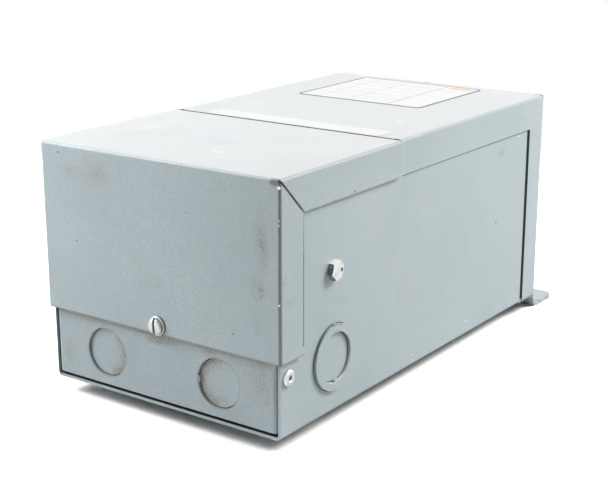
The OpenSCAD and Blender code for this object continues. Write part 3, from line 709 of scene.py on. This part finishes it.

# The same dulled zinc, with grime and painted shade in the slot and in the groove round the head,
# heavier below in the groove. The slope that faces up and to the right is painted darker as shade.
screw_zinc = zinc_plate("zinc_plated_steel_screw")
from_middle = from_axis(screw_zinc, (0, 0, screw_z), end_plane)
in_head = add(screw_zinc["tree"], "MapRange", {0: from_middle, 1: 3.5 * mm, 2: 3.3 * mm})
slot_bottom = cover_y - slot_floor
slot_grime_and_shade = meet(screw_zinc, ramp(screw_zinc, "Y", slot_bottom - 0.25, slot_bottom), in_head, 0.8)
lay_over(screw_zinc, slot_grime_and_shade, "5C5A58", 0.7, 0.2)
in_washer = add(screw_zinc["tree"], "MapRange", {0: from_middle, 1: 3.9 * mm, 2: 3.75 * mm})
groove = meet(screw_zinc, ramp(screw_zinc, "Y", cover_y - 0.56, cover_y - 0.5), in_washer,
              ramp(screw_zinc, "Z", screw_z + 1.6, screw_z + 0.2, 0.15, 0.9))
lay_over(screw_zinc, groove, "55585A", 0.7, 0.2)
slope = meet(screw_zinc, facing(screw_zinc, (0.75, -0.25, 0.6), 0.45, 0.85),
             noise(screw_zinc, 1.5, 0.1, 0.5), 0.8)
lay_over(screw_zinc, slope, "8F9A98", 0.5, 0.5)

screw = turned([(0, slot_floor), (2.6, slot_floor)] + washer_profile + screw_shank)
for turn in (0, 180):
    half_head = turned(head_profile)
    everything = half_head.verts[:] + half_head.edges[:] + half_head.faces[:]
    cut = bmesh.ops.bisect_plane(half_head, geom=everything, plane_co=(slot_half * mm, 0, 0),
                                 plane_no=(1, 0, 0), clear_inner=True)["geom_cut"]
    open_edges = [g for g in cut if isinstance(g, bmesh.types.BMEdge)]
    bmesh.ops.holes_fill(half_head, edges=open_edges)
    bmesh.ops.recalc_face_normals(half_head, faces=half_head.faces)
    ease_edges(half_head, 0.12, False)
    bmesh.ops.rotate(half_head, cent=(0, 0, 0), verts=half_head.verts,
                     matrix=Matrix.Rotation(math.radians(turn + slot_turn), 3, "Z"))
    bmesh.ops.translate(half_head, verts=half_head.verts, vec=head_off_middle)
    join(screw, half_head)
lay_down = Matrix.Rotation(math.radians(90), 4, "X")
to_notch = Matrix.Translation((0, cover_y * mm, screw_z * mm))
bmesh.ops.transform(screw, verts=screw.verts, matrix=to_notch @ lay_down)
place_piece(screw, "cover_screw_slotted", close_finish(screw_zinc), "cover_screw")
recoat("cover_screw_clip", nut_material)

# ---- Rating plate and notice strip -----------------------------------------------------------
# Two printed polyester labels stuck to the main cover. The rating plate is blank but for its thin
# ruled lines and one coloured bar, and the notice strip is plain white.
plate_low, plate_high = cad_corners("rating_plate")
plate_middle = cad_middle("rating_plate")[:2]
plate_half = [(high - low) / 2 for low, high in zip(plate_low, plate_high)][:2]
plate_round, border_in, rule_width, print_soft, label_ior = 3.0, 0.6, 0.6, 0.05, 1.42
rule_left, rule_right, rule_low, rule_top, column_x = -41, 31, 19, 82, 12


def from_outline(finish, middle, half, corner):
    """Distance in metres outside a rounded rectangle seen from above, negative inside it."""
    tree = finish["tree"]
    away = add(tree, "VectorMath", {0: finish["place"], 1: (middle[0] * mm, middle[1] * mm, 0)},
               operation="SUBTRACT")
    away = add(tree, "VectorMath", {0: away}, operation="ABSOLUTE")
    core = [(half[0] - corner) * mm, (half[1] - corner) * mm, 10.0]
    away = add(tree, "VectorMath", {0: away, 1: core}, operation="SUBTRACT")
    x = add(tree, "SeparateXYZ", {0: away})
    y = x.node.outputs[1]
    inside = add(tree, "Math", {0: x, 1: y}, operation="MAXIMUM")
    inside = add(tree, "Math", {0: inside, 1: 0.0}, operation="MINIMUM")
    beyond = add(tree, "VectorMath", {0: away, 1: (0, 0, 0)}, operation="MAXIMUM")
    beyond = add(tree, "VectorMath", {0: beyond}, "Value", operation="LENGTH")
    away = add(tree, "Math", {0: inside, 1: beyond}, operation="ADD")
    return add(tree, "Math", {0: away, 1: corner * mm}, operation="SUBTRACT")


def ruled_line(finish, start, end, thick):
    """Mask of a straight printed line or bar along X or Y, between two points in mm."""
    middle = [(a + b) / 2 for a, b in zip(start, end)]
    half = [abs(b - a) / 2 + thick / 2 for a, b in zip(start, end)]
    away = from_outline(finish, middle, half, print_soft)
    return add(finish["tree"], "MapRange", {0: away, 1: print_soft * mm, 2: -print_soft * mm})


def label_stock(name):
    """White polyester label: a satin face, faintly yellowed, with fine scuffs."""
    finish = start_finish(name, "CCCED0", 0.4, 0.0)
    lay_over(finish, meet(finish, noise(finish, 22.0, 0.4, 0.8, 4.0), 0.4), "C4C4C1", 0.45)
    lay_over(finish, meet(finish, noise(finish, 2.2, 0.6, 0.75, 4.0), 0.3), "BBBAB6", 0.5)
    raise_by(finish, noise(finish, 3.0, 0.3, 0.7), 0.008)
    return finish


plate_print = label_stock("printed_polyester_rating_plate")
border = from_outline(plate_print, plate_middle, [h - border_in for h in plate_half],
                      plate_round - border_in)
border = add(plate_print["tree"], "Math", {0: border}, operation="ABSOLUTE")
border = add(plate_print["tree"], "MapRange", {0: border, 1: 0.65 * mm, 2: 0.5 * mm})
lay_over(plate_print, border, "2E3036", 0.4)
# Printed lines: the upright between the two columns, the rows to its left and their uprights, and
# the rows to its right, with a coloured bar at their top.
rules = [((column_x, rule_low), (column_x, rule_top), 0.75)]
rules += [((rule_left, y), (column_x, y), 0.35) for y in (72, 62, 52, 42, 32)]
rules += [((x, rule_low), (x, rule_top), 0.35) for x in (-30, -12)]
rules += [((column_x, y), (rule_right, y), 0.3) for y in (68, 50, 36)]
for start, end, strength in rules:
    line = ruled_line(plate_print, start, end, rule_width)
    lay_over(plate_print, meet(plate_print, line, strength), "55575C", 0.4)
bar = ruled_line(plate_print, (17.5, 77.5), (26.0, 77.5), 4.2)
lay_over(plate_print, bar, "DFA983", 0.4)
strip_print = label_stock("printed_polyester_notice_strip")
recoat("rating_plate", close_finish(plate_print, label_ior))
recoat("notice_strip", close_finish(strip_print, label_ior))

# ---- Floor, lamps and camera -----------------------------------------------------------------
# Plain pale studio floor of matt paper under four soft boxes, the brightest behind on the right.
# The floor and the world look white to the camera, and the world does in reflections too, while
# the object's shadow stays on the floor. Places and sizes here are in metres.
floor_half, dim_world, paper_shade, paper_seen_shade = 0.45, 0.03, 0.8, 1.4
camera_tilt, camera_turn, focal_length, sensor_width = 16.22, 35.44, 78.565, 36

floor_shape = bmesh.new()
bmesh.ops.create_grid(floor_shape, x_segments=1, y_segments=1, size=floor_half)
floor_mesh = bpy.data.meshes.new("floor")
floor_shape.to_mesh(floor_mesh)
floor_shape.free()
floor = bpy.data.objects.new("floor", floor_mesh)
bpy.context.scene.collection.objects.link(floor)
floor_material = bpy.data.materials.new("matt_white_backdrop_paper")
floor_material.use_nodes = True
tree = floor_material.node_tree
tree.nodes.remove(tree.nodes["Principled BSDF"])
paper = add(tree, "BsdfDiffuse", {"Color": [paper_shade] * 3 + [1]})
paper_seen = add(tree, "BsdfDiffuse", {"Color": [paper_seen_shade] * 3 + [1]})
seen = add(tree, "LightPath", out="Is Camera Ray")
paper = add(tree, "MixShader", {0: seen, 1: paper, 2: paper_seen})
tree.links.new(paper, tree.nodes["Material Output"].inputs["Surface"])
floor_mesh.materials.append(floor_material)


def lamp(name, place, aim, size, watts, colour):
    """Square soft box at a place, facing a point, in metres."""
    light = bpy.data.lights.new(name, "AREA")
    light.shape, light.size, light.energy, light.color = "SQUARE", size, watts, srgb(colour)[:3]
    holder = bpy.data.objects.new(name, light)
    holder.location = place
    holder.rotation_euler = (Vector(aim) - Vector(place)).to_track_quat("-Z", "Y").to_euler()
    bpy.context.scene.collection.objects.link(holder)


lamp("right_soft_box", (0.65, 0.68, 0.82), (0, 0, 0.05), 0.5, 19.7, "FFFDFA")
lamp("left_soft_box", (-0.53, -0.37, 0.66), (0, -0.05, 0.05), 0.44, 6.4, "FEFFFE")
lamp("low_soft_box", (-0.31, -0.33, 0.25), (-0.03, -0.14, 0.08), 0.2, 0.78, "FFFEFC")
lamp("back_soft_box", (-0.4, 0.9, 0.9), (0, 0, 0.1), 0.7, 0.8, "FFE2C8")

world = bpy.data.worlds.new("studio")
bpy.context.scene.world = world
world.use_nodes = True
tree = world.node_tree
rays = add(tree, "LightPath")
seen = add(tree, "Math", {0: rays, 1: rays.node.outputs["Is Glossy Ray"]}, operation="MAXIMUM")
seen = add(tree, "Math", {0: seen, 1: rays.node.outputs["Is Transmission Ray"]}, operation="MAXIMUM")
level = add(tree, "MapRange", {0: seen, 3: dim_world, 4: 1.0})
tree.nodes["Background"].inputs["Color"].default_value = (1, 1, 1, 1)
tree.links.new(level, tree.nodes["Background"].inputs["Strength"])

lens = bpy.data.cameras.new("camera")
lens.lens, lens.sensor_width = focal_length, sensor_width
camera = bpy.data.objects.new("camera", lens)
camera.location = (0.35775, -0.53738, 0.23517)
camera.rotation_euler = (math.radians(90 - camera_tilt), 0, math.radians(camera_turn))
bpy.context.scene.collection.objects.link(camera)
bpy.context.scene.camera = camera
bpy.context.scene.view_settings.view_transform = "Standard"
